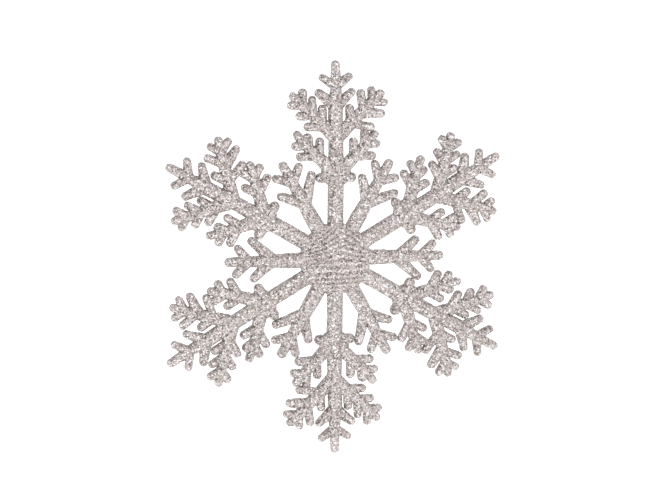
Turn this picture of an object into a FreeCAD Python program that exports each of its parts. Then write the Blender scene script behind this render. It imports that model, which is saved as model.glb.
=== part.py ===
import FreeCAD, Part
import math
import os
from collections import namedtuple

# A six-armed snowflake ornament, in millimetres. It stands upright in the XZ plane with its front
# towards -Y, one long arm along +Z and the origin at the middle of the hub. Twelve arms, six long
# and six short, plug into the flats of a twelve-sided hub. All long arms are the same arm turned
# about the hub, and so are all short arms. Front and back are alike.

# ---- overall sizes ----
OVERALL = 100.0             # tip to tip of two opposite long arms
DRAWN_OVERALL = 100.0       # the overall size that the twig places below are drawn for
LONG_ARMS = 6               # as many short arms stand between them
FLATS = 2 * LONG_ARMS

# ---- depths, front to back ----
HUB_DEPTH = 4.2
STEM_DEPTH = 3.0
BRANCH_DEPTH = 2.6
TWIG_DEPTH = 2.2
EDGE_EASE = 0.5             # chamfer along every front and back edge of the arms
HUB_EASE = 0.5              # chamfer around the hub's front and back

# ---- widths across the bars, seen from the front ----
STEM_WIDTH = 3.9            # long arm, where it leaves the hub
STEM_TOP_WIDTH = 3.5        # long arm, where its upper branches leave
NECK_WIDTH = 2.7            # long arm, between its two last pairs of twigs
STEM_END_WIDTH = 2.0
SHORT_STEM_WIDTH = 3.7      # short arm, where it leaves the hub
SHORT_STEM_TOP_WIDTH = 2.8
SHORT_NECK_WIDTH = 2.5
SHORT_STEM_END_WIDTH = 2.2
UPPER_BRANCH_WIDTH = 3.5
LOWER_BRANCH_WIDTH = 3.5
BRANCH_END_WIDTH = 2.5
COLLAR_WIDTH = 2.4
HEAVY_ROOT_WIDTH = 3.0      # roots of the twigs that carry the most
STOUT_ROOT_WIDTH = 2.4      # roots of the twigs that thicken a little
TWIG_WIDTH = 2.0
SLIM_TWIG_WIDTH = 1.8

# ---- how the arms fit the hub and each other ----
ROOT_LAND = 0.4             # hub flat left bare on each side of a long arm's stem
ROOT_RUN = 3.4              # straight, square-ended run of every stem, out from its flat
TONGUE_WIDTH = 1.8
TONGUE_DEPTH = 1.4
TONGUE_LENGTH = 2.6
TONGUE_CLEARANCE = 0.1      # around the tongue
TONGUE_END_CLEARANCE = 0.2  # beyond the tongue's end
TIP_CLEARANCE = 0.15        # between the twigs of neighbouring arms

# ---- raised faces of the hub: distance from its middle to each step's flats, and rise ----
FACE_STEPS = ((6.4, 0.2), (3.8, 0.2))

STRETCH = OVERALL / DRAWN_OVERALL
HALF_FLAT_ANGLE = math.pi / FLATS
HUB_FLAT_RADIUS = (STEM_WIDTH / 2 + ROOT_LAND) / math.tan(HALF_FLAT_ANGLE)
ROOT_END = HUB_FLAT_RADIUS + ROOT_RUN

# A bar runs from one place to another. A place is (across, outward) in an arm that points up.
# Places are drawn for DRAWN_OVERALL and stretched with the whole pattern; widths and depths are not.
Bar = namedtuple("Bar", "start end start_width end_width depth")
STEM_START = (0.0, ROOT_END / STRETCH)
LONG_TIP = (-0.1, (OVERALL / 2 - STEM_END_WIDTH / 2) / STRETCH)


def twig(start, end, width=TWIG_WIDTH, start_width=None):
    """A small round-ended bar, as wide at its root as at its tip unless start_width says more."""
    return Bar(start, end, start_width or width, width, TWIG_DEPTH)


LONG_STEM = [
    Bar(STEM_START, (0.1, 20.0), STEM_WIDTH, STEM_WIDTH, STEM_DEPTH),
    Bar((0.1, 20.0), (0.1, 30.0), STEM_WIDTH, STEM_TOP_WIDTH, STEM_DEPTH),
    Bar((0.1, 30.0), (-0.1, 38.0), STEM_TOP_WIDTH, STEM_TOP_WIDTH, STEM_DEPTH),
    Bar((-0.1, 38.0), (0.0, 42.5), STEM_TOP_WIDTH, NECK_WIDTH, STEM_DEPTH),
    Bar((0.0, 42.5), LONG_TIP, NECK_WIDTH, STEM_END_WIDTH, TWIG_DEPTH),
]
LONG_PAIRS = [
    twig((-0.1, 43.5), (-3.4, 45.8), SLIM_TWIG_WIDTH, TWIG_WIDTH),
    twig((0.1, 43.7), (3.4, 46.0), SLIM_TWIG_WIDTH, STOUT_ROOT_WIDTH),
    twig((-0.5, 39.0), (-4.4, 42.0), TWIG_WIDTH, HEAVY_ROOT_WIDTH),
    twig((0.5, 39.0), (4.1, 42.1), SLIM_TWIG_WIDTH, HEAVY_ROOT_WIDTH),
]
UPPER_LEFT = [
    Bar((-0.2, 31.0), (-9.0, 39.5), UPPER_BRANCH_WIDTH, BRANCH_END_WIDTH, BRANCH_DEPTH),
    twig((-3.2, 33.6), (-7.2, 33.6), TWIG_WIDTH, STOUT_ROOT_WIDTH),
    twig((-3.4, 34.6), (-3.5, 38.0)),
    twig((-6.0, 36.6), (-9.3, 36.3), TWIG_WIDTH, STOUT_ROOT_WIDTH),
    twig((-5.9, 37.2), (-6.1, 40.4), SLIM_TWIG_WIDTH),
    twig((-8.6, 39.4), (-8.6, 42.2)),
    twig((-9.2, 39.9), (-11.0, 41.3), TWIG_WIDTH, STOUT_ROOT_WIDTH),
    twig((-8.8, 39.3), (-11.5, 39.0), TWIG_WIDTH, STOUT_ROOT_WIDTH),
]
UPPER_RIGHT = [
    Bar((0.3, 30.6), (9.6, 39.8), UPPER_BRANCH_WIDTH, BRANCH_END_WIDTH, BRANCH_DEPTH),
    twig((4.2, 34.0), (9.2, 33.2)),
    twig((3.9, 34.8), (3.6, 38.0), TWIG_WIDTH, STOUT_ROOT_WIDTH),
    twig((7.2, 36.9), (11.8, 36.5), TWIG_WIDTH, HEAVY_ROOT_WIDTH),
    twig((7.0, 38.0), (6.5, 41.7)),
    twig((9.3, 39.6), (9.3, 42.5), SLIM_TWIG_WIDTH),
    twig((9.8, 40.0), (11.6, 41.5), TWIG_WIDTH, STOUT_ROOT_WIDTH),
    twig((9.6, 39.7), (12.6, 39.3), SLIM_TWIG_WIDTH, STOUT_ROOT_WIDTH),
]
LOWER_LEFT = [
    Bar((-0.4, 22.1), (-8.2, 29.3), LOWER_BRANCH_WIDTH, BRANCH_END_WIDTH, BRANCH_DEPTH),
    twig((-4.6, 26.2), (-9.2, 26.1), TWIG_WIDTH, STOUT_ROOT_WIDTH),
    twig((-4.3, 26.2), (-4.1, 29.8), TWIG_WIDTH, STOUT_ROOT_WIDTH),
    twig((-7.1, 28.8), (-7.3, 30.7), STOUT_ROOT_WIDTH),
    twig((-8.2, 29.4), (-10.0, 31.6)),
    twig((-8.1, 29.0), (-10.4, 28.8), TWIG_WIDTH, STOUT_ROOT_WIDTH),
]
LOWER_RIGHT = [
    Bar((0.8, 21.7), (8.4, 29.3), LOWER_BRANCH_WIDTH, BRANCH_END_WIDTH, BRANCH_DEPTH),
    twig((4.6, 25.9), (9.5, 25.9), TWIG_WIDTH, STOUT_ROOT_WIDTH),
    twig((4.7, 26.2), (4.6, 29.6)),
    twig((7.6, 29.0), (7.5, 31.8), TWIG_WIDTH, STOUT_ROOT_WIDTH),
    twig((8.4, 29.6), (10.1, 31.3), TWIG_WIDTH, STOUT_ROOT_WIDTH),
    twig((8.2, 29.1), (10.7, 28.9), TWIG_WIDTH, STOUT_ROOT_WIDTH),
]
COLLAR = [
    Bar((-3.9, 20.6), (4.1, 20.6), COLLAR_WIDTH, COLLAR_WIDTH, BRANCH_DEPTH),
    Bar((-1.6, 20.0), (1.8, 20.0), COLLAR_WIDTH, COLLAR_WIDTH, BRANCH_DEPTH),
    Bar((-1.9, 22.2), (2.2, 22.1), LOWER_BRANCH_WIDTH, LOWER_BRANCH_WIDTH, BRANCH_DEPTH),
]
LONG_ARM = LONG_STEM + COLLAR + LOWER_LEFT + LOWER_RIGHT + UPPER_LEFT + UPPER_RIGHT + LONG_PAIRS

SHORT_STEM = [
    Bar(STEM_START, (0.1, 20.0), SHORT_STEM_WIDTH, SHORT_STEM_TOP_WIDTH, STEM_DEPTH),
    Bar((0.1, 20.0), (0.2, 24.0), SHORT_STEM_TOP_WIDTH, SHORT_NECK_WIDTH, BRANCH_DEPTH),
    Bar((0.2, 24.0), (0.2, 27.5), SHORT_NECK_WIDTH, SHORT_STEM_END_WIDTH, TWIG_DEPTH),
]
SHORT_PAIRS = [
    twig((-0.4, 17.1), (-4.1, 21.1), TWIG_WIDTH, HEAVY_ROOT_WIDTH),
    twig((0.8, 16.7), (5.3, 21.7), TWIG_WIDTH, HEAVY_ROOT_WIDTH),
    twig((0.0, 22.7), (-2.9, 25.7), TWIG_WIDTH, STOUT_ROOT_WIDTH),
    twig((0.4, 22.7), (3.5, 25.2), TWIG_WIDTH, STOUT_ROOT_WIDTH),
]
SHORT_ARM = SHORT_STEM + SHORT_PAIRS


def point(across, outward, forward=0.0):
    """A point of an arm that points up; forward is towards the front."""
    return FreeCAD.Vector(across, -forward, outward)


def turned(shape, degrees):
    """A copy turned clockwise about the hub, as seen from the front."""
    copy = shape.copy()
    copy.rotate(FreeCAD.Vector(0, 0, 0), FreeCAD.Vector(0, 1, 0), degrees)
    return copy


def polygon_prism(outline, depth):
    """The prism of a closed outline of (across, outward) points, centred front to back."""
    corners = [point(across, outward, -depth / 2) for across, outward in outline]
    face = Part.Face(Part.makePolygon(corners + corners[:1]))
    return face.extrude(point(0, 0, depth))


def eased(prism, depth, ease):
    """The same prism with its front and back edges chamfered."""
    rims = []
    for edge in prism.Edges:
        box = edge.BoundBox
        if box.YLength < depth / 4:
            rims.append(edge)
    return prism.makeChamfer(ease, rims)


def bar_outline(bar, grow):
    """The face around a bar: two round ends joined by the lines that touch both."""
    start = point(bar.start[0] * STRETCH, bar.start[1] * STRETCH)
    end = point(bar.end[0] * STRETCH, bar.end[1] * STRETCH)
    start_radius = bar.start_width / 2 + grow
    end_radius = bar.end_width / 2 + grow
    along = end - start
    lean = math.acos((start_radius - end_radius) / along.Length)
    heading = math.atan2(along.z, along.x)

    def rim(centre, radius, angle):
        return centre + point(radius * math.cos(angle), radius * math.sin(angle))

    start_left = rim(start, start_radius, heading + lean)
    start_right = rim(start, start_radius, heading - lean)
    end_left = rim(end, end_radius, heading + lean)
    end_right = rim(end, end_radius, heading - lean)
    start_back = rim(start, start_radius, heading + math.pi)
    end_front = rim(end, end_radius, heading)
    edges = [
        Part.Arc(start_left, start_back, start_right).toShape(),
        Part.LineSegment(start_right, end_right).toShape(),
        Part.Arc(end_right, end_front, end_left).toShape(),
        Part.LineSegment(end_left, start_left).toShape(),
    ]
    return Part.Face(Part.Wire(edges))


def bar_solid(bar):
    """A round-ended bar with eased edges, centred front to back."""
    face = bar_outline(bar, 0.0)
    face.translate(point(0, 0, -bar.depth / 2))
    return eased(face.extrude(point(0, 0, bar.depth)), bar.depth, EDGE_EASE)


def bar_room(bar):
    """The space that a bar and the clearance around it take up, right through the ornament."""
    face = bar_outline(bar, TIP_CLEARANCE)
    face.translate(point(0, 0, -HUB_DEPTH))
    return face.extrude(point(0, 0, 2 * HUB_DEPTH))


def stem_root(width):
    """The straight run of a stem that seats on its flat of the hub, its long edges eased."""
    half = width / 2
    outline = [(-half, HUB_FLAT_RADIUS), (half, HUB_FLAT_RADIUS), (half, ROOT_END), (-half, ROOT_END)]
    prism = polygon_prism(outline, STEM_DEPTH)
    long_edges = []
    for edge in prism.Edges:
        box = edge.BoundBox
        if box.ZLength > max(box.XLength, box.YLength):
            long_edges.append(edge)
    return prism.makeChamfer(EDGE_EASE, long_edges)


def tongue_prism(clearance, end_clearance):
    """The tongue of an arm, or the slot that takes it, running in from the hub's flat."""
    half = TONGUE_WIDTH / 2 + clearance
    inner = HUB_FLAT_RADIUS - TONGUE_LENGTH - end_clearance
    outer = HUB_FLAT_RADIUS + end_clearance
    outline = [(-half, inner), (half, inner), (half, outer), (-half, outer)]
    return polygon_prism(outline, TONGUE_DEPTH + 2 * clearance)


def arm_solid(bars, stem_width):
    """One whole arm, pointing up, with the tongue that plugs into the hub."""
    pieces = [bar_solid(bar) for bar in bars]
    pieces.append(tongue_prism(0.0, 0.0))
    return stem_root(stem_width).fuse(pieces).removeSplitter()


def clear_of_neighbours(short_arm):
    """The short arm, trimmed wherever it would come closer than the clearance to a long arm."""
    pitch = 360.0 / FLATS
    rooms = []
    for bar in LONG_ARM:
        rooms.append(turned(bar_room(bar), pitch))
        rooms.append(turned(bar_room(bar), -pitch))
    near = [room for room in rooms if room.common(short_arm).Volume > 0]
    return short_arm.cut(near) if near else short_arm


def twelve_sided(flat_radius, depth):
    """A twelve-sided prism whose flats face the twelve arms, centred front to back."""
    corner_radius = flat_radius / math.cos(HALF_FLAT_ANGLE)
    angles = [(2 * index + 1) * HALF_FLAT_ANGLE for index in range(FLATS)]
    outline = [(corner_radius * math.cos(angle), corner_radius * math.sin(angle)) for angle in angles]
    return polygon_prism(outline, depth)


def hub_solid():
    """The hub: an eased twelve-sided block with raised faces and one slot in each flat."""
    hub = eased(twelve_sided(HUB_FLAT_RADIUS, HUB_DEPTH), HUB_DEPTH, HUB_EASE)
    depth = HUB_DEPTH
    for flat_radius, rise in FACE_STEPS:
        depth += 2 * rise
        hub = hub.fuse(eased(twelve_sided(flat_radius, depth), depth, rise))
    slot = tongue_prism(TONGUE_CLEARANCE, TONGUE_END_CLEARANCE)
    slots = [turned(slot, index * 360.0 / FLATS) for index in range(FLATS)]
    return hub.cut(slots).removeSplitter()


def export(shape, name):
    """Write one node, after a check that it is one sound solid."""
    if not shape.isValid() or len(shape.Solids) != 1:
        raise ValueError(name + " is not one valid solid")
    shape.Solids[0].exportStep(os.path.join("parts", name + ".step"))
    print(name, "volume", round(shape.Volume, 1), "mm3")


def build():
    """Make every piece and write it to its own file."""
    os.makedirs("parts", exist_ok=True)
    export(hub_solid(), "hub")
    long_arm = arm_solid(LONG_ARM, STEM_WIDTH)
    short_arm = clear_of_neighbours(arm_solid(SHORT_ARM, SHORT_STEM_WIDTH))
    pitch = 360.0 / LONG_ARMS
    for index in range(LONG_ARMS):
        export(turned(long_arm, index * pitch), "long_arm_%d" % (index + 1))
        export(turned(short_arm, (index + 0.5) * pitch), "short_arm_%d" % (index + 1))


build()
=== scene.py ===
"""Looks of the snowflake ornament: rounded, glitter-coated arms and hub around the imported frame.

Each arm and the hub get one coat, which stands for the frame node of the same name. A coat starts as
plain closed shapes, which are merged into one soft skin and then pressed into grains of glitter.
"""

from __future__ import annotations

import logging
import math
from dataclasses import dataclass, field
from enum import Enum
from typing import Iterable, Sequence

import bmesh
import bpy
import numpy as np
from mathutils import Matrix, Vector, kdtree

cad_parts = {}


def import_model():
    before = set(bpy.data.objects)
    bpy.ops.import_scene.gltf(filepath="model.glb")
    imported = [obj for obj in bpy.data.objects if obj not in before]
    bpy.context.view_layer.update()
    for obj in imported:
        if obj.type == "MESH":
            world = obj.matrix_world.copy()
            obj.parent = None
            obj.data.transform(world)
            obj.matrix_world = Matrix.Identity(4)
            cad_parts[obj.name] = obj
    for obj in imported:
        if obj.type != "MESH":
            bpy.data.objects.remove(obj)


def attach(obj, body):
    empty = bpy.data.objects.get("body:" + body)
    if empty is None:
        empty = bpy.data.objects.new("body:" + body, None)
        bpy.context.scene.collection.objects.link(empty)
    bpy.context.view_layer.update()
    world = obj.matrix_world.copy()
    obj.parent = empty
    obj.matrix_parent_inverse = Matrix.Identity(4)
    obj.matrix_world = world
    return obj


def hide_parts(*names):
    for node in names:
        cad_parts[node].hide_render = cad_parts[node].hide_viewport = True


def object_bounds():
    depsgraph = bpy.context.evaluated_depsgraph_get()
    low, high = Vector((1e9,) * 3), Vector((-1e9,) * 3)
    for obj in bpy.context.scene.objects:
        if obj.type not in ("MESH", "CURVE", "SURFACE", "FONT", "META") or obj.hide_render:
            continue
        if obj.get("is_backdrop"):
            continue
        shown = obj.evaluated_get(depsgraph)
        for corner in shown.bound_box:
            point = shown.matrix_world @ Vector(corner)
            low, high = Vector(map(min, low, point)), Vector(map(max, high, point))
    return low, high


log = logging.getLogger("snowflake")

MM = 0.001
# Mesh attribute of painted shade: 1 leaves the colour as it is; less darkens it on sides, in crotches, in
# grooves and at the hub's rim.
PAINTED_SHADE = "painted_shade"
WHITE = (1.0, 1.0, 1.0, 1.0)
GRID_NEIGHBOURS = 4
SCATTER_TURN = 12.9898
SCATTER_STRETCH = 43758.5453
Place = tuple[float, float]
Point = tuple[float, float, float]
Colour = tuple[float, float, float]


class Arm(Enum):
    """The two kinds of arm, by the name their frame nodes start with."""

    LONG = "long_arm"
    SHORT = "short_arm"


class NodeBench:
    """A node tree, with short ways to add and wire nodes.

    Attributes:
        tree: the node tree.
        MIX_ONE: number of a Mix node's input for the first colour.
        MIX_OTHER: number of its input for the second.
        MIX_RESULT: number of its output for the mixed colour.
    """

    MIX_ONE, MIX_OTHER, MIX_RESULT = 6, 7, 2

    def __init__(self, owner: bpy.types.Material | bpy.types.World) -> None:
        """Switch a new material's or world's nodes on."""
        owner.use_nodes = True
        self.tree = owner.node_tree

    def add(self, kind: str, **values: float) -> bpy.types.Node:
        """Add a node and set its inputs.

        Args:
            kind: the node's type.
            values: a value for each input to set, by the input's name with _ for a space.

        Returns:
            The node.
        """
        node = self.tree.nodes.new(kind)
        for name, value in values.items():
            node.inputs[name.replace("_", " ")].default_value = value
        return node

    def wire(self, source: bpy.types.NodeSocket, target: bpy.types.NodeSocket) -> None:
        """Wire an output to an input."""
        self.tree.links.new(source, target)

    def spread(self, value: bpy.types.NodeSocket, **values: float) -> bpy.types.Node:
        """Map a value from one range to another.

        Args:
            value: the value.
            values: the ends of the two ranges that aren't 0 and 1, by their inputs' names.

        Returns:
            The node that maps it.
        """
        node = self.add("ShaderNodeMapRange", **values)
        self.wire(value, node.inputs["Value"])
        return node

    def ramp(self, value: bpy.types.NodeSocket, stops: Sequence[tuple[float, Colour]],
             blend: str = "LINEAR") -> bpy.types.NodeSocket:
        """Return the colour that a value picks from a row of stops.

        Args:
            value: the value, from 0 to 1.
            stops: (value, colour) from the lowest value up.
            blend: the way that colours run between stops.

        Returns:
            The colour's socket.
        """
        node = self.add("ShaderNodeValToRGB")
        node.color_ramp.interpolation = blend
        row = node.color_ramp.elements
        while len(row) < len(stops):
            row.new(1.0)
        for element, (place, colour) in zip(row, stops):
            element.position = place
            element.color = (*colour, 1.0)
        self.wire(value, node.inputs[0])
        return node.outputs[0]

    def multiply(self, one: bpy.types.NodeSocket, other: bpy.types.NodeSocket) -> bpy.types.NodeSocket:
        """Return one colour multiplied by another.

        Args:
            one: the first colour.
            other: the second colour.

        Returns:
            The product's socket.
        """
        node = self.add("ShaderNodeMix", Factor=1.0)
        node.data_type = "RGBA"
        node.blend_type = "MULTIPLY"
        self.wire(one, node.inputs[self.MIX_ONE])
        self.wire(other, node.inputs[self.MIX_OTHER])
        return node.outputs[self.MIX_RESULT]

    def vector(self, operation: str, one: bpy.types.NodeSocket,
               other: bpy.types.NodeSocket | Colour | None = None) -> bpy.types.NodeSocket:
        """Return the result of a vector sum.

        Args:
            operation: the name of the sum.
            one: the first vector.
            other: the second vector, a constant, or None where the sum takes one only.

        Returns:
            The result's socket.
        """
        node = self.add("ShaderNodeVectorMath")
        node.operation = operation
        self.wire(one, node.inputs[0])
        if isinstance(other, tuple):
            node.inputs[1].default_value = other
        elif other is not None:
            self.wire(other, node.inputs[1])
        return node.outputs[0]


def add_object(name: str, data: bpy.types.ID) -> bpy.types.Object:
    """Put a mesh, lamp or camera into the scene.

    Args:
        name: the new object's name.
        data: the mesh, lamp or camera.

    Returns:
        The object.
    """
    item = bpy.data.objects.new(name, data)
    bpy.context.scene.collection.objects.link(item)
    return item


def to_mesh(bm: bmesh.types.BMesh, name: str) -> bpy.types.Mesh:
    """Turn a finished bmesh into a mesh.

    Args:
        bm: the bmesh; it is used up.
        name: the mesh's name.

    Returns:
        The mesh.
    """
    mesh = bpy.data.meshes.new(name)
    bm.to_mesh(mesh)
    bm.free()
    return mesh


def read_vectors(collection: bpy.types.bpy_prop_collection, name: str) -> np.ndarray:
    """Return one vector for each item of a mesh collection.

    Args:
        collection: the mesh's vertices, or another row of its items.
        name: the property to read.

    Returns:
        One row of three numbers for each item.
    """
    values = np.empty(len(collection) * 3)
    collection.foreach_get(name, values)
    return values.reshape(-1, 3)


def unit(rows: np.ndarray) -> np.ndarray:
    """Return rows scaled to length 1."""
    return rows / np.linalg.norm(rows, axis=1)[:, None]


def share_between(values: np.ndarray, low: float, high: float) -> np.ndarray:
    """Return how far values have come from low to high, from 0 to 1."""
    return np.clip((values - low) / (high - low), 0.0, 1.0)


def scattered(numbers: np.ndarray) -> np.ndarray:
    """Return a share from 0 to 1 for each number, as good as random and always the same."""
    return np.modf(np.abs(np.sin(numbers * SCATTER_TURN) * SCATTER_STRETCH))[0]


def neighbour_mean(mesh: bpy.types.Mesh, values: np.ndarray) -> np.ndarray:
    """Return, for each vertex, the mean of a value over the vertices next to it.

    Args:
        mesh: the mesh whose edges say which vertices are next to each other.
        values: one number for each vertex.

    Returns:
        One number for each vertex.
    """
    ends = np.empty(len(mesh.edges) * 2, dtype=np.int32)
    mesh.edges.foreach_get("vertices", ends)
    first, second = ends.reshape(-1, 2).T
    one_way = np.bincount(first, values[second], len(values))
    other_way = np.bincount(second, values[first], len(values))
    return (one_way + other_way) / np.bincount(ends, minlength=len(values))


@dataclass(frozen=True)
class Bar:
    """A round-ended bar between two places (across, outward) of an arm that points up, in mm.

    Attributes:
        start: the middle of its first round end.
        end: the middle of its last round end.
        start_width: its width at the start.
        end_width: its width at the end.
        depth: its depth, front to back.
    """

    start: Place
    end: Place
    start_width: float
    end_width: float
    depth: float


@dataclass(frozen=True)
class BarMesher:
    """Turns bars into closed, rounded meshes.

    Attributes:
        around: points round each section of a bar.
        cap_rings: sections in each rounded end.
        run_rings: sections between the two ends.
        fullness: how far a section stands out from an ellipse towards a rectangle; 2 is an ellipse.
    """

    around: int = 24
    cap_rings: int = 6
    run_rings: int = 3
    fullness: float = 2.4

    def add(self, bm: bmesh.types.BMesh, bar: Bar) -> None:
        """Add one bar to a mesh.

        Args:
            bm: the mesh that takes the bar, in metres.
            bar: the bar's places, widths and depth, in mm.
        """
        start, end = Vector(bar.start), Vector(bar.end)
        along = (end - start).normalized()
        side = Vector((along.y, -along.x))
        length = (end - start).length
        rings = []
        for travel, radius in self._profile(bar, length):
            passed = min(max(travel / length, 0.0), 1.0)
            share = radius / (bar.start_width / 2 + (bar.end_width - bar.start_width) / 2 * passed)
            centre = start + along * travel
            rings.append(self._ring(bm, centre, side, radius, share * bar.depth / 2))
        tail = start - along * bar.start_width / 2
        nose = end + along * bar.end_width / 2
        first = bm.verts.new((tail.x * MM, 0.0, tail.y * MM))
        last = bm.verts.new((nose.x * MM, 0.0, nose.y * MM))
        self._skin(bm, rings, first, last)

    def _profile(self, bar: Bar, length: float) -> list[tuple[float, float]]:
        """Work out where a bar's sections lie.

        Args:
            bar: the bar.
            length: from its start to its end, in mm.

        Returns:
            (travel along the bar, half width there) for every section, in mm.
        """
        profile = []
        for step in range(1, self.cap_rings + 1):
            angle = math.pi / 2 * step / self.cap_rings
            radius = bar.start_width / 2
            profile.append((-radius * math.cos(angle), radius * math.sin(angle)))
        for step in range(1, self.run_rings):
            share = step / self.run_rings
            width = bar.start_width + (bar.end_width - bar.start_width) * share
            profile.append((length * share, width / 2))
        for step in range(self.cap_rings, 0, -1):
            angle = math.pi / 2 * step / self.cap_rings
            radius = bar.end_width / 2
            profile.append((length + radius * math.cos(angle), radius * math.sin(angle)))
        return profile

    def _ring(self, bm: bmesh.types.BMesh, centre: Vector, side: Vector, half_width: float,
              half_depth: float) -> list[bmesh.types.BMVert]:
        """Add one section of a bar.

        Args:
            bm: the mesh that takes the section.
            centre: the section's middle (across, outward), in mm.
            side: the direction across the bar.
            half_width: half the section's width, in mm.
            half_depth: half its depth, in mm.

        Returns:
            The section's vertices in order.
        """
        ring = []
        for index in range(self.around):
            angle = math.tau * index / self.around
            cosine, sine = math.cos(angle), math.sin(angle)
            power = 2 / self.fullness
            across = math.copysign(abs(cosine) ** power, cosine) * half_width
            forward = math.copysign(abs(sine) ** power, sine) * half_depth
            place = centre + side * across
            ring.append(bm.verts.new((place.x * MM, -forward * MM, place.y * MM)))
        return ring

    def _skin(self, bm: bmesh.types.BMesh, rings: Sequence[list[bmesh.types.BMVert]],
              first: bmesh.types.BMVert, last: bmesh.types.BMVert) -> None:
        """Close the sections of a bar into one skin.

        Args:
            bm: the mesh that holds the sections.
            rings: the sections from the bar's start to its end.
            first: the point at the bar's start.
            last: the point at its end.
        """
        for lower, upper in zip(rings, rings[1:]):
            for index in range(self.around):
                after = (index + 1) % self.around
                bm.faces.new((lower[index], lower[after], upper[after], upper[index]))
        for index in range(self.around):
            after = (index + 1) % self.around
            bm.faces.new((first, rings[0][after], rings[0][index]))
            bm.faces.new((last, rings[-1][index], rings[-1][after]))


@dataclass(frozen=True)
class Coat:
    """The glitter coat's mesh: merges a piece's shapes into one skin and roughens it with grains.

    Attributes:
        voxel: edge of the cells that merge the shapes into one skin, in mm.
        smoothing: passes that round the crotches between bars.
        smoothing_step: how far a pass moves a point towards its neighbours' mean, as a share.
        swell: thickness that the coat adds, in mm.
        grain: size of a grain across, in mm.
        lean: the most that a grain leans out of the surface, in degrees.
        relief: the most that a grain stands in or out, in mm.
        steepest: the least that a grain may face the way the surface does, as a cosine.
        spacing: area of a grain's patch in squares of its size.
        darkest_facing: how far a surface has turned away from front and back where its painted side shade is
            darkest.
        unshaded_facing: how squarely a surface has to face front or back to get no painted side shade.
        crotch_shade_depth: share of the full painted shade that a tight crotch gets.
        valley_radius: how sharply a surface bends inward where it counts as a tight crotch, in mm.
        valley_blur: passes that spread the painted shade along a valley.
    """

    voxel: float = 0.14
    smoothing: int = 2
    smoothing_step: float = 0.5
    swell: float = 0.1
    grain: float = 0.42
    lean: float = 19.0
    relief: float = 0.07
    steepest: float = 0.5
    spacing: float = 0.8
    darkest_facing: float = -0.25
    unshaded_facing: float = 0.45
    crotch_shade_depth: float = 0.7
    valley_radius: float = 0.9
    valley_blur: int = 2

    def skin(self, mesh: bpy.types.Mesh) -> bpy.types.Mesh:
        """Merge overlapping closed shapes into one smooth skin.

        Args:
            mesh: closed shapes that may overlap, in metres; it is used up.

        Returns:
            A new mesh of small, even faces.
        """
        body = add_object("skin_work", mesh)
        merge = body.modifiers.new("merge", "REMESH")
        merge.mode = "VOXEL"
        merge.voxel_size = self.voxel * MM
        soften = body.modifiers.new("soften", "SMOOTH")
        soften.factor = self.smoothing_step
        soften.iterations = self.smoothing
        thicken = body.modifiers.new("thicken", "DISPLACE")
        thicken.strength = self.swell * MM
        thicken.mid_level = 0.0
        graph = bpy.context.evaluated_depsgraph_get()
        skin = bpy.data.meshes.new_from_object(body.evaluated_get(graph))
        bpy.data.objects.remove(body)
        bpy.data.meshes.remove(mesh)
        return skin

    def lay_grains(self, mesh: bpy.types.Mesh, seed: int, extra_shade: np.ndarray | float = 1.0) -> None:
        """Press a skin into leaning grains, and note painted shade on it: darker on sides that turn away and
        in tight crotches.

        Args:
            mesh: the skin to change, in metres.
            seed: the seed of this piece's own scatter.
            extra_shade: painted shade for each vertex, from 0, darkest, to 1, none, besides that of its
                facing and crotches.
        """
        picker = np.random.default_rng(seed)
        points = read_vectors(mesh.vertices, "co")
        normals = read_vectors(mesh.vertices, "normal")
        # Painted side shade: darker where a surface turns away from front and back.
        facing = share_between(np.abs(normals[:, 1]), self.darkest_facing, self.unshaded_facing)
        # Painted shade in tight crotches between bars, where light falls less.
        crotch = 1.0 - self.crotch_shade_depth * self._hollowness(mesh, points, normals)
        # The painted shade of sides, crotches and the hub's grooves and rim goes into one attribute.
        painted_shade = mesh.attributes.new(PAINTED_SHADE, "FLOAT", "POINT")
        painted_shade.data.foreach_set("value", (facing * extra_shade * crotch).astype(np.float32))
        area = sum(polygon.area for polygon in mesh.polygons)
        count = int(area / (self.grain * MM) ** 2 / self.spacing)
        chosen = picker.choice(len(points), size=min(count, len(points)), replace=False)
        tree = kdtree.KDTree(len(chosen))
        for index, vertex in enumerate(chosen):
            tree.insert(points[vertex], index)
        tree.balance()
        owner = np.array([tree.find(point)[1] for point in points])
        lean = unit(picker.normal(size=(len(chosen), 3))) * picker.random((len(chosen), 1))
        plane = unit(normals[chosen] + lean * math.tan(math.radians(self.lean)))[owner]
        offset = points - points[chosen[owner]]
        facing_plane = np.maximum(np.einsum("ij,ij->i", normals, plane), self.steepest)
        rise = -np.einsum("ij,ij->i", offset, plane) / facing_plane
        limit = self.relief * MM
        points += normals * np.clip(rise, -limit, limit)[:, None]
        mesh.vertices.foreach_set("co", points.ravel())
        mesh.update()

    def _hollowness(self, mesh: bpy.types.Mesh, points: np.ndarray, normals: np.ndarray) -> np.ndarray:
        """Return how deep in a valley each vertex lies, from 0 on a crest to 1 in a tight crotch.

        On a square mesh a vertex with four neighbours lies under their mean by a quarter of the
        surface's two bends added up, times the spacing squared.

        Args:
            mesh: the skin before its grains.
            points: its vertices' places, in metres.
            normals: its vertices' normals.

        Returns:
            One number for each vertex.
        """
        sink = np.zeros(len(points))
        for axis in range(3):
            sink += (neighbour_mean(mesh, points[:, axis]) - points[:, axis]) * normals[:, axis]
        for _ in range(self.valley_blur):
            sink = neighbour_mean(mesh, sink)
        bend = GRID_NEIGHBOURS * sink / (self.voxel * MM) ** 2
        return np.clip(bend * self.valley_radius * MM, 0.0, 1.0)


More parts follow.
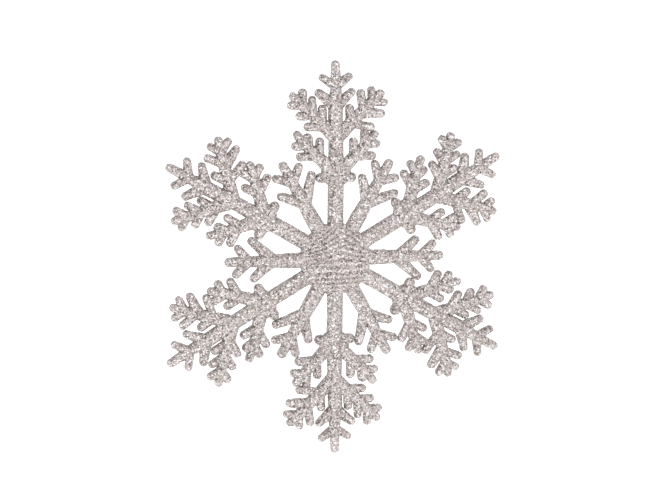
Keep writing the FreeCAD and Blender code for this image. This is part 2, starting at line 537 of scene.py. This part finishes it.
@dataclass(frozen=True)
class GlitterFinish:
    """The look of the coat: silver foil flakes with a warm cast, each with its own tone and lean.

    Attributes:
        flake: size of a flake across, in mm.
        lean: the most that a flake's shine leans out of the surface, as a slope.
        tones: (share of the flakes, colour) from the darkest flakes to the lightest.
        tints: (share of the flakes, colour) that a few flakes are tinted with.
        gain: how many times lighter all the flakes are than the tones say; the hub's lighter copy is painted
            light.
        gap_from: how far out from its middle a flake starts to darken, in flakes.
        gap_to: how far out it is darkest.
        gap_depth: share of the light left in the gaps between flakes.
        painted_shade_depth: share of the light left in the colour where the painted shade is darkest.
        smoothest: roughness of the smoothest flakes.
        roughest: roughness of the roughest.
        metal: how much of the look is metal foil.
        varnish: how much clear varnish lies over the flakes.
        varnish_roughness: the varnish's own roughness.
    """

    flake: float = 0.32
    lean: float = 0.7
    tones: tuple[tuple[float, Colour], ...] = (
        (0.0, (0.285, 0.243, 0.228)),
        (0.3, (0.44, 0.385, 0.37)),
        (0.6, (0.60, 0.545, 0.53)),
        (0.85, (0.82, 0.78, 0.765)),
        (1.0, (0.97, 0.955, 0.945)),
    )
    tints: tuple[tuple[float, Colour], ...] = (
        (0.0, (0.88, 0.95, 1.0)),
        (0.05, (1.0, 1.0, 1.0)),
        (0.9, (1.0, 0.89, 0.85)),
    )
    gain: float = 1.0
    gap_from: float = 0.35
    gap_to: float = 0.75
    gap_depth: float = 0.8
    painted_shade_depth: float = 0.62
    smoothest: float = 0.22
    roughest: float = 0.5
    metal: float = 0.8
    varnish: float = 0.2
    varnish_roughness: float = 0.15

    def build(self, name: str) -> bpy.types.Material:
        """Make the material.

        Args:
            name: the material's name.

        Returns:
            The material, ready for a piece.
        """
        material = bpy.data.materials.new(name)
        bench = NodeBench(material)
        flakes = bench.add("ShaderNodeTexVoronoi", Scale=1.0 / (self.flake * MM))
        bench.wire(bench.add("ShaderNodeTexCoord").outputs["Object"], flakes.inputs["Vector"])
        chance = bench.add("ShaderNodeSeparateColor")
        bench.wire(flakes.outputs["Color"], chance.inputs[0])
        tone = bench.ramp(chance.outputs[0], [(share, self._lit(colour)) for share, colour in self.tones])
        tint = bench.ramp(chance.outputs[1], self.tints, "CONSTANT")
        foil = bench.multiply(tone, tint)
        foil = bench.multiply(foil, self._gaps(bench, flakes.outputs["Distance"]))
        # Painted shade: the foil colour is darkened on sides, in crotches and in the hub's grooves and rim.
        foil = bench.multiply(foil, self._shade_grey(bench))
        polish = bench.spread(chance.outputs[2], To_Min=self.smoothest, To_Max=self.roughest)
        shader = bench.tree.nodes["Principled BSDF"]
        bench.wire(foil, shader.inputs["Base Color"])
        bench.wire(polish.outputs[0], shader.inputs["Roughness"])
        bench.wire(self._lean(bench, flakes.outputs["Color"]), shader.inputs["Normal"])
        shader.inputs["Metallic"].default_value = self.metal
        shader.inputs["Coat Weight"].default_value = self.varnish
        shader.inputs["Coat Roughness"].default_value = self.varnish_roughness
        return material

    def _lit(self, colour: Colour) -> Colour:
        """Return a colour made lighter by the gain, as far as it keeps its cast."""
        gain = min(self.gain, 1.0 / max(colour))
        return colour[0] * gain, colour[1] * gain, colour[2] * gain

    def _gaps(self, bench: NodeBench, distance: bpy.types.NodeSocket) -> bpy.types.NodeSocket:
        """Return a grey that darkens towards the gaps between flakes.

        Args:
            bench: the material's nodes.
            distance: how far a spot is from its flake's middle, in flakes.

        Returns:
            The grey's socket.
        """
        grey = bench.spread(distance, From_Min=self.gap_from, From_Max=self.gap_to, To_Min=1.0,
                            To_Max=self.gap_depth)
        return grey.outputs[0]

    def _shade_grey(self, bench: NodeBench) -> bpy.types.NodeSocket:
        """Return a grey of painted shade: darker on sides that run back, in crotches and in grooves.

        Args:
            bench: the material's nodes.

        Returns:
            The grey's socket.
        """
        # Painted shade, read from the mesh attribute that lay_grains writes.
        painted_shade = bench.add("ShaderNodeAttribute")
        painted_shade.attribute_name = PAINTED_SHADE
        return bench.spread(painted_shade.outputs["Fac"], To_Min=self.painted_shade_depth).outputs[0]

    def _lean(self, bench: NodeBench, chance: bpy.types.NodeSocket) -> bpy.types.NodeSocket:
        """Return the surface's normal, leaning its own way on each flake.

        Args:
            bench: the material's nodes.
            chance: three random shares for each flake.

        Returns:
            The normal's socket.
        """
        centred = bench.vector("SUBTRACT", chance, (0.5, 0.5, 0.5))
        leaning = bench.vector("MULTIPLY", centred, (2 * self.lean,) * 3)
        normal = bench.add("ShaderNodeNewGeometry").outputs["Normal"]
        return bench.vector("NORMALIZE", bench.vector("ADD", normal, leaning))


@dataclass(frozen=True)
class ArmBars:
    """Widths, depths and places of every bar of the two kinds of arm, in mm.

    Attributes:
        stem: width of a long arm's stem at the hub.
        stem_top: its width above the lower branches.
        neck: its width between the two pairs of twigs near the tip.
        stem_end: its width at the tip.
        short_stem: width of a short arm's stem at the hub.
        short_stem_top: its width above the first pair of twigs.
        short_neck: its width at the second pair of twigs.
        short_stem_end: its width at the tip.
        branch: width of a branch where it leaves the stem.
        branch_end: its width at its end.
        collar: width of the bars that make the collar.
        heavy_root: width of the stoutest twigs where they leave their bar.
        stout_root: the same for stout twigs.
        twig: width of a twig at its tip.
        slim: the same for a slim twig.
        stem_depth: depth of the stems, front to back.
        branch_depth: depth of the branches and the collar.
        twig_depth: depth of the twigs.
        root: how far from the hub's middle a stem starts.
    """

    stem: float = 3.9
    stem_top: float = 3.5
    neck: float = 2.7
    stem_end: float = 2.0
    short_stem: float = 3.7
    short_stem_top: float = 2.8
    short_neck: float = 2.5
    short_stem_end: float = 2.2
    branch: float = 3.5
    branch_end: float = 2.5
    collar: float = 2.4
    heavy_root: float = 3.0
    stout_root: float = 2.4
    twig: float = 2.0
    slim: float = 1.8
    stem_depth: float = 3.0
    branch_depth: float = 2.6
    twig_depth: float = 2.2
    root: float = 7.6

    def _twig(self, start: Place, end: Place, width: float | None = None,
              root: float | None = None) -> Bar:
        """Return a small bar, as wide at its root as at its tip unless root says more."""
        tip = width or self.twig
        return Bar(start, end, root or tip, tip, self.twig_depth)

    def long_arm(self) -> list[Bar]:
        """Return all the bars of a long arm that points up."""
        return [*self._long_stem(), *self._lower_branches(), *self._upper_branches(), *self._long_pairs()]

    def _long_stem(self) -> list[Bar]:
        """List the stem of a long arm and its collar.

        Returns:
            The stem's bars from inside the hub to the tip, then the collar's.
        """
        deep = self.stem_depth
        return [
            Bar((0.0, self.root), (0.1, 20.0), self.stem, self.stem, deep),
            Bar((0.1, 20.0), (0.1, 30.0), self.stem, self.stem_top, deep),
            Bar((0.1, 30.0), (-0.1, 38.0), self.stem_top, self.stem_top, deep),
            Bar((-0.1, 38.0), (0.0, 42.5), self.stem_top, self.neck, deep),
            Bar((0.0, 42.5), (-0.1, 49.0), self.neck, self.stem_end, self.twig_depth),
            Bar((-3.9, 20.6), (4.1, 20.6), self.collar, self.collar, self.branch_depth),
            Bar((-1.6, 20.0), (1.8, 20.0), self.collar, self.collar, self.branch_depth),
            Bar((-1.9, 22.2), (2.2, 22.1), self.branch, self.branch, self.branch_depth),
        ]

    def _lower_branches(self) -> list[Bar]:
        """List the two branches next to the collar, with their twigs.

        Returns:
            The left branch's bars from the collar outward, then the right one's.
        """
        twig, stout = self._twig, self.stout_root
        return [
            Bar((-0.4, 22.1), (-8.2, 29.3), self.branch, self.branch_end, self.branch_depth),
            twig((-4.6, 26.2), (-9.2, 26.1), root=stout),
            twig((-4.3, 26.2), (-4.1, 29.8), root=stout),
            twig((-7.1, 28.8), (-7.3, 30.7), stout),
            twig((-8.2, 29.4), (-10.0, 31.6)),
            twig((-8.1, 29.0), (-10.4, 28.8), root=stout),
            Bar((0.8, 21.7), (8.4, 29.3), self.branch, self.branch_end, self.branch_depth),
            twig((4.6, 25.9), (9.5, 25.9), root=stout),
            twig((4.7, 26.2), (4.6, 29.6)),
            twig((7.6, 29.0), (7.5, 31.8), root=stout),
            twig((8.4, 29.6), (10.1, 31.3), root=stout),
            twig((8.2, 29.1), (10.7, 28.9), root=stout),
        ]

    def _upper_branches(self) -> list[Bar]:
        """List the two large branches above the middle of the arm, with their twigs.

        Returns:
            The left branch's bars from the stem outward, then the right one's.
        """
        twig, stout = self._twig, self.stout_root
        return [
            Bar((-0.2, 31.0), (-9.0, 39.5), self.branch, self.branch_end, self.branch_depth),
            twig((-3.2, 33.6), (-7.2, 33.6), root=stout),
            twig((-3.4, 34.6), (-3.5, 38.0)),
            twig((-6.0, 36.6), (-9.3, 36.3), root=stout),
            twig((-5.9, 37.2), (-6.1, 40.4), self.slim),
            twig((-8.6, 39.4), (-8.6, 42.2)),
            twig((-9.2, 39.9), (-11.0, 41.3), root=stout),
            twig((-8.8, 39.3), (-11.5, 39.0), root=stout),
            Bar((0.3, 30.6), (9.6, 39.8), self.branch, self.branch_end, self.branch_depth),
            twig((4.2, 34.0), (9.2, 33.2)),
            twig((3.9, 34.8), (3.6, 38.0), root=stout),
            twig((7.2, 36.9), (11.8, 36.5), root=self.heavy_root),
            twig((7.0, 38.0), (6.5, 41.7)),
            twig((9.3, 39.6), (9.3, 42.5), self.slim),
            twig((9.8, 40.0), (11.6, 41.5), root=stout),
            twig((9.6, 39.7), (12.6, 39.3), self.slim, stout),
        ]

    def _long_pairs(self) -> list[Bar]:
        """List the two pairs of simple twigs near the tip of a long arm.

        Returns:
            The pair next to the tip, then the pair below it.
        """
        return [
            self._twig((-0.1, 43.5), (-3.4, 45.8), self.slim, self.twig),
            self._twig((0.1, 43.7), (3.4, 46.0), self.slim, self.stout_root),
            self._twig((-0.5, 39.0), (-4.4, 42.0), root=self.heavy_root),
            self._twig((0.5, 39.0), (4.1, 42.1), self.slim, self.heavy_root),
        ]

    def short_arm(self) -> list[Bar]:
        """List all the bars of a short arm that points up.

        Returns:
            The stem's bars from inside the hub to the tip, then the twigs.
        """
        return [
            Bar((0.0, self.root), (0.0, 12.0), self.short_stem, self.short_stem, self.stem_depth),
            Bar((0.0, 12.0), (0.1, 20.0), self.short_stem, self.short_stem_top, self.stem_depth),
            Bar((0.1, 20.0), (0.2, 24.0), self.short_stem_top, self.short_neck, self.branch_depth),
            Bar((0.2, 24.0), (0.2, 27.5), self.short_neck, self.short_stem_end, self.twig_depth),
            self._twig((-0.4, 17.1), (-4.1, 21.1), root=self.heavy_root),
            self._twig((0.8, 16.7), (5.3, 21.7), root=self.heavy_root),
            self._twig((0.0, 22.7), (-2.9, 25.7), root=self.stout_root),
            self._twig((0.4, 22.7), (3.5, 25.2), root=self.stout_root),
        ]


@dataclass(frozen=True)
class ArmSet:
    """One kind of arm: its bars, made once and set round the hub, each with its own flakes.

    Attributes:
        kind: which kind of arm.
        bars: the bars of an arm that points up.
        first_angle: how far the first arm is turned from up, clockwise from the front, in degrees.
        seed: the seed of the first arm's flakes; the others count on from it.
        count: how many arms there are.
        mesher: makes the bars.
        coat: the glitter coat.
    """

    kind: Arm
    bars: list[Bar]
    first_angle: float
    seed: int
    count: int = 6
    mesher: BarMesher = field(default_factory=BarMesher)
    coat: Coat = field(default_factory=Coat)

    def build(self, finish: bpy.types.Material) -> list[bpy.types.Object]:
        """Make every arm of this kind, each as one visible piece.

        Args:
            finish: the coat's material.

        Returns:
            The arms, in the order of their frame nodes.
        """
        bm = bmesh.new()
        for bar in self.bars:
            self.mesher.add(bm, bar)
        skin = self.coat.skin(to_mesh(bm, "bars_work"))
        arms = []
        for index in range(self.count):
            node = f"{self.kind.value}_{index + 1}"
            mesh = skin.copy()
            mesh.transform(Matrix.Rotation(math.radians(self.first_angle + 360 / self.count * index), 4, "Y"))
            self.coat.lay_grains(mesh, seed=self.seed + index)
            mesh.materials.append(finish)
            arm = add_object(f"{node}_coat", mesh)
            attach(arm, "root")
            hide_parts(node)
            arms.append(arm)
        bpy.data.meshes.remove(skin)
        return arms


@dataclass(frozen=True)
class Ridges:
    """The low arched ridges across the hub's faces, broken into beads; all sizes in mm.

    Attributes:
        pitch: from one ridge to the next.
        close_pitch: the same near the bottom, where the ridges crowd together.
        close_below: height under which they crowd together.
        height: from a groove to the top of a ridge.
        bead: from one bead to the next along a ridge.
        bead_share: share of the height that the beads take.
        waver: how far a ridge strays from its line, as a share of the pitch.
        waves: turn across and upward, in radians a mm, of the two waves that it strays by.
        peak: how far the arches' peaks lie to the right.
        arch: how fast the arches steepen upward.
        crown: how wide the round top of an arch is.
        flat_below: height under which the ridges run level.
    """

    pitch: float = 1.75
    close_pitch: float = 1.15
    close_below: float = -4.0
    height: float = 0.34
    bead: float = 1.6
    bead_share: float = 0.5
    waver: float = 0.06
    waves: tuple[Place, Place] = ((2.9, 1.7), (1.3, -2.3))
    peak: float = 1.3
    arch: float = 0.125
    crown: float = 0.8
    flat_below: float = -1.5

    def height_at(self, across: np.ndarray, up: np.ndarray) -> np.ndarray:
        """Return how far the ridges stand out at each place.

        Args:
            across: places to the right of the hub's middle, in mm.
            up: their heights over it, in mm.

        Returns:
            One height for each place, in mm.
        """
        steep = self.arch * np.maximum(up - self.flat_below, 0.0)
        level = (up + steep * (np.hypot(across - self.peak, self.crown) - self.crown)) / self.pitch
        level += np.minimum(up - self.close_below, 0.0) * (1.0 / self.close_pitch - 1.0 / self.pitch)
        one, other = (np.sin(across * sideways + up * upward) for sideways, upward in self.waves)
        level += self.waver * one * other
        row = np.floor(level)
        ridge = 0.5 - 0.5 * np.cos(math.tau * (level - row))
        bead = 0.5 + 0.5 * np.cos(math.tau * (across / self.bead + scattered(row)))
        return self.height * ((1.0 - self.bead_share) * ridge + self.bead_share * ridge * bead)


@dataclass(frozen=True)
class Hub:
    """The twelve-sided middle, stepped towards its faces and ridged front and back; sizes in mm.

    Attributes:
        flat_radius: from the middle to a flat.
        depth: front to back, at the plain steps.
        rise: how much the faces stand out beyond that.
        sides: how many flats there are.
        seed: the seed of its flakes.
        groove_shade_depth: share of the full painted shade that the bottom of a groove gets.
        rim_shade_depth: share of the full painted shade that the rim gets.
        ridge_reach: from the middle to the ridges' ends.
        ridge_from: how squarely a surface has to face front or back to be ridged at all.
        ridge_full: how squarely it has to face so for the ridges' full height.
        steps: (share of the hub's width, share of its depth) from the rim inward.
        ridges: the ridges on its faces.
        coat: the glitter coat.
    """

    flat_radius: float = 8.77
    depth: float = 4.2
    rise: float = 0.1
    sides: int = 12
    seed: int = 1201
    groove_shade_depth: float = 0.7
    rim_shade_depth: float = 0.5
    ridge_reach: float = 8.7
    ridge_from: float = 0.4
    ridge_full: float = 0.9
    steps: tuple[tuple[float, float], ...] = ((1.0, 0.42), (0.95, 0.62), (0.8, 0.84), (0.45, 1.0))
    ridges: Ridges = field(default_factory=Ridges)
    coat: Coat = field(default_factory=Coat)

    def build(self, finish: bpy.types.Material) -> bpy.types.Object:
        """Make the hub.

        Args:
            finish: the coat's material.

        Returns:
            The hub's visible piece.
        """
        mesh = self.coat.skin(self._body())
        # The hub's painted shade in its grooves and at its rim.
        extra_shade = self._press_ridges(mesh)
        self.coat.lay_grains(mesh, self.seed, extra_shade)
        mesh.materials.append(finish)
        hub = add_object("hub_coat", mesh)
        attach(hub, "root")
        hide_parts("hub")
        return hub

    def _body(self) -> bpy.types.Mesh:
        """Make the plain stepped body.

        Returns:
            Its mesh, in metres.
        """
        front = [(share, -height) for share, height in reversed(self.steps)]
        levels = front + [(share, height) for share, height in self.steps]
        bm = bmesh.new()
        rings = [self._ring(bm, share, level * (self.depth / 2 + self.rise)) for share, level in levels]
        for lower, upper in zip(rings, rings[1:]):
            for index in range(self.sides):
                after = (index + 1) % self.sides
                bm.faces.new((lower[index], lower[after], upper[after], upper[index]))
        bm.faces.new(rings[0])
        bm.faces.new(rings[-1])
        bmesh.ops.recalc_face_normals(bm, faces=bm.faces)
        return to_mesh(bm, "hub_work")

    def _ring(self, bm: bmesh.types.BMesh, share: float, back: float) -> list[bmesh.types.BMVert]:
        """Add one ring of corners.

        Args:
            bm: the mesh that takes the ring.
            share: the ring's size, as a share of the hub's.
            back: its place along +Y, in mm.

        Returns:
            The ring's vertices in order.
        """
        corner = self.flat_radius / math.cos(math.pi / self.sides) * share
        ring = []
        for index in range(self.sides):
            angle = (2 * index + 1) * math.pi / self.sides
            ring.append(bm.verts.new(Vector((corner * math.cos(angle), back, corner * math.sin(angle))) * MM))
        return ring

    def _press_ridges(self, mesh: bpy.types.Mesh) -> np.ndarray:
        """Raise the ridges on both faces, and work out painted shade for the very bottom of each groove and
        for the rim.

        Args:
            mesh: the hub's skin, in metres; it is changed.

        Returns:
            Painted shade for each vertex, from 0, darkest, to 1, none.
        """
        points = read_vectors(mesh.vertices, "co")
        normals = read_vectors(mesh.vertices, "normal")
        height = self.ridges.height_at(points[:, 0] / MM, points[:, 2] / MM)
        out = height - self.ridges.height / 2
        facing = share_between(np.abs(normals[:, 1]), self.ridge_from, self.ridge_full)
        faces = np.sign(normals[:, 1]) * facing
        inside = np.clip(self.ridge_reach - np.hypot(points[:, 0], points[:, 2]) / MM, 0.0, 1.0)
        points[:, 1] += out * MM * faces * inside
        mesh.vertices.foreach_set("co", points.ravel())
        mesh.update()
        # Painted shade: the bottoms of the grooves and the rim are darkened in colour, where light falls
        # less.
        groove = self.groove_shade_depth * (1.0 - height / self.ridges.height) ** 2
        return 1.0 - groove * inside - self.rim_shade_depth * (1.0 - inside)


@dataclass(frozen=True)
class SoftBox:
    """A square soft box that faces the ornament.

    Attributes:
        name: its name.
        place: where it hangs, in metres.
        power: the light it gives, in watts.
        size: its edge, in metres.
    """

    name: str
    place: Point
    power: float
    size: float = 0.25

    def hang(self) -> None:
        """Hang the soft box."""
        lamp = bpy.data.lights.new(self.name, "AREA")
        lamp.size = self.size
        lamp.energy = self.power
        box = add_object(self.name, lamp)
        box.location = self.place
        box.rotation_euler = (-Vector(self.place)).to_track_quat("-Z", "Y").to_euler()


@dataclass(frozen=True)
class Studio:
    """The pale floor and room, the soft light and the camera.

    Attributes:
        azimuth: the camera's place round the ornament, in degrees; 0 looks along +Y.
        elevation: the camera's height above the horizon, in degrees.
        distance: from the camera to the point it looks at, in metres.
        lens: focal length, in mm.
        aim: the point that the camera looks at, in mm.
        roll: the camera's turn about its own axis, in degrees.
        sight: the nearest and the farthest that the camera sees, in metres.
        floor_size: the floor's size, in metres.
        floor_drop: from the lowest twig to the floor, in metres.
        floor_grey: how light the floor's paint is.
        floor_roughness: how dull it is.
        floor_glow: how much light the floor gives off by itself.
        wall_light: light from the room's walls.
        ceiling_light: light from its ceiling.
        wall_top: where the walls start to turn into ceiling, as a share of the way up.
        ceiling_start: where the ceiling is reached.
        boxes: the soft boxes, in front and behind alike.
    """

    azimuth: float = -16.0
    elevation: float = 9.0
    distance: float = 0.714
    lens: float = 153.5
    aim: Point = (-0.7, 0.0, 2.5)
    roll: float = 0.2
    sight: tuple[float, float] = (0.01, 50.0)
    floor_size: float = 6.0
    floor_drop: float = 0.04
    floor_grey: float = 0.9
    floor_roughness: float = 0.9
    floor_glow: float = 0.6
    wall_light: float = 1.0
    ceiling_light: float = 0.72
    wall_top: float = 0.1
    ceiling_start: float = 0.75
    boxes: tuple[SoftBox, ...] = (
        SoftBox("key", (-0.35, -0.7, 0.35), 0.8),
        SoftBox("fill", (0.55, -0.6, 0.1), 0.5),
        SoftBox("back_key", (0.35, 0.7, 0.35), 0.8),
    )

    def build(self, lowest: float) -> None:
        """Set up the whole studio.

        Args:
            lowest: height of the ornament's lowest point, in metres.
        """
        self._floor(lowest - self.floor_drop)
        self._room()
        for box in self.boxes:
            box.hang()
        self._camera()

    def _floor(self, height: float) -> None:
        """Lay a wide pale floor.

        Args:
            height: the floor's height, in metres.
        """
        bm = bmesh.new()
        bmesh.ops.create_grid(bm, x_segments=2, y_segments=2, size=self.floor_size)
        floor = add_object("floor", to_mesh(bm, "floor"))
        floor.location.z = height
        floor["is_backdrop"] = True
        material = bpy.data.materials.new("pale_floor")
        shader = NodeBench(material).tree.nodes["Principled BSDF"]
        shader.inputs["Base Color"].default_value = (*(self.floor_grey,) * 3, 1.0)
        shader.inputs["Roughness"].default_value = self.floor_roughness
        shader.inputs["Emission Color"].default_value = WHITE
        shader.inputs["Emission Strength"].default_value = self.floor_glow
        floor.data.materials.append(material)

    def _room(self) -> None:
        """Surround the ornament with a pale room that darkens towards its ceiling."""
        room = bpy.data.worlds.new("room")
        bpy.context.scene.world = room
        bench = NodeBench(room)
        background = bench.tree.nodes["Background"]
        background.inputs["Color"].default_value = WHITE
        axes = bench.add("ShaderNodeSeparateXYZ")
        bench.wire(bench.add("ShaderNodeTexCoord").outputs["Generated"], axes.inputs[0])
        shade = bench.spread(axes.outputs["Z"], From_Min=self.wall_top, From_Max=self.ceiling_start,
                             To_Min=self.wall_light, To_Max=self.ceiling_light)
        shade.interpolation_type = "SMOOTHSTEP"
        bench.wire(shade.outputs[0], background.inputs["Strength"])

    def _camera(self) -> None:
        """Place the camera."""
        azimuth, elevation = math.radians(self.azimuth), math.radians(self.elevation)
        back = Vector((math.sin(azimuth) * math.cos(elevation), -math.cos(azimuth) * math.cos(elevation),
                       math.sin(elevation)))
        lens = bpy.data.cameras.new("camera")
        lens.lens = self.lens
        lens.clip_start, lens.clip_end = self.sight
        camera = add_object("camera", lens)
        camera.location = Vector(self.aim) * MM + back * self.distance
        turn = (-back).to_track_quat("-Z", "Y")
        camera.rotation_mode = "QUATERNION"
        camera.rotation_quaternion = turn @ Matrix.Rotation(math.radians(self.roll), 3, "Z").to_quaternion()
        bpy.context.scene.camera = camera


def main() -> None:
    """Build the ornament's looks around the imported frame."""
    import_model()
    cad_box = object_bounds()
    bpy.context.scene.view_settings.view_transform = "Standard"
    arm_finish = GlitterFinish(gain=1.1).build("arm_glitter")
    # Painted light: the hub gets a lighter copy of the glitter, to make up for its flat faces catching less
    # light than the rounded arms.
    hub_lit_finish = GlitterFinish(gain=1.53).build("hub_glitter")
    bars = ArmBars()
    pieces = ArmSet(Arm.LONG, bars.long_arm(), first_angle=0.0, seed=1000).build(arm_finish)
    pieces += ArmSet(Arm.SHORT, bars.short_arm(), first_angle=30.0, seed=1100).build(arm_finish)
    pieces.append(Hub().build(hub_lit_finish))
    for piece in pieces:
        log.info("made %s, %d faces", piece.name, len(piece.data.polygons))
    Studio().build(cad_box[0].z)


if __name__ == "__main__":
    logging.basicConfig(level=logging.INFO, format="%(message)s")
    main()
